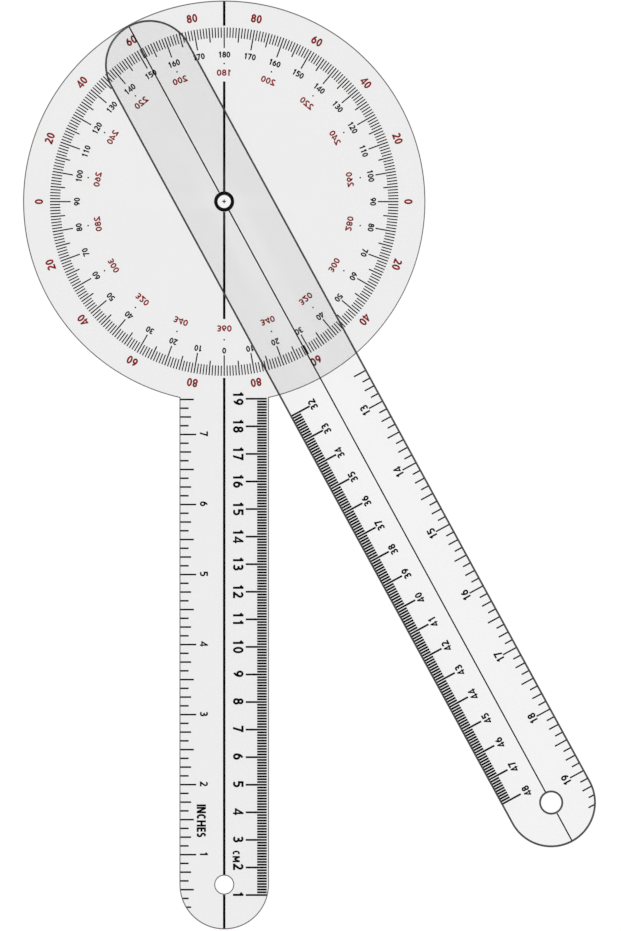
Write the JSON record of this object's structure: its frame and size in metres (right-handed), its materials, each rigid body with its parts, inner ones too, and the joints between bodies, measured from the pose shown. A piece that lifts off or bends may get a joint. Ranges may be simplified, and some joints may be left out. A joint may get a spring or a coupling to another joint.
{
  "type": "goniometer",
  "caption": "Clear round-head goniometer: a full-circle protractor sheet with a fixed arm, and a moving arm that turns on a hollow centre eyelet to read a joint's angle.",
  "frame": {"origin": "on the pivot axis, at the plane that the eyelet's rolled end rests on", "axes": "+Z out of the printed side along the pivot axis, -Y along the fixed arm, +X to the right as the printed side is read with the fixed arm down"},
  "size_m": [0.2078, 0.337, 0.0045],
  "materials": {
    "clear_sheet": "gloss",
    "clear_window": "gloss",
    "clear_nylon": "satin",
    "black_eyelet": "satin",
    "black_ink": "satin",
    "red_ink": "satin"
  },
  "bodies": {
    "protractor_body": {"protractor_arm": "clear_sheet", "pivot_eyelet": "black_eyelet", "clinch_washer": "black_eyelet", "friction_washer": "clear_nylon", "sight_window": "clear_window"},
    "swing_arm": {"moving_arm": "clear_sheet"}
  },
  "joints": [
    {"name": "arm_swing", "type": "hinge", "parent": "protractor_body", "child": "swing_arm", "pos_m": [0, 0, 0.00318], "axis": [0, 0, 1], "continuous": true}
  ]
}
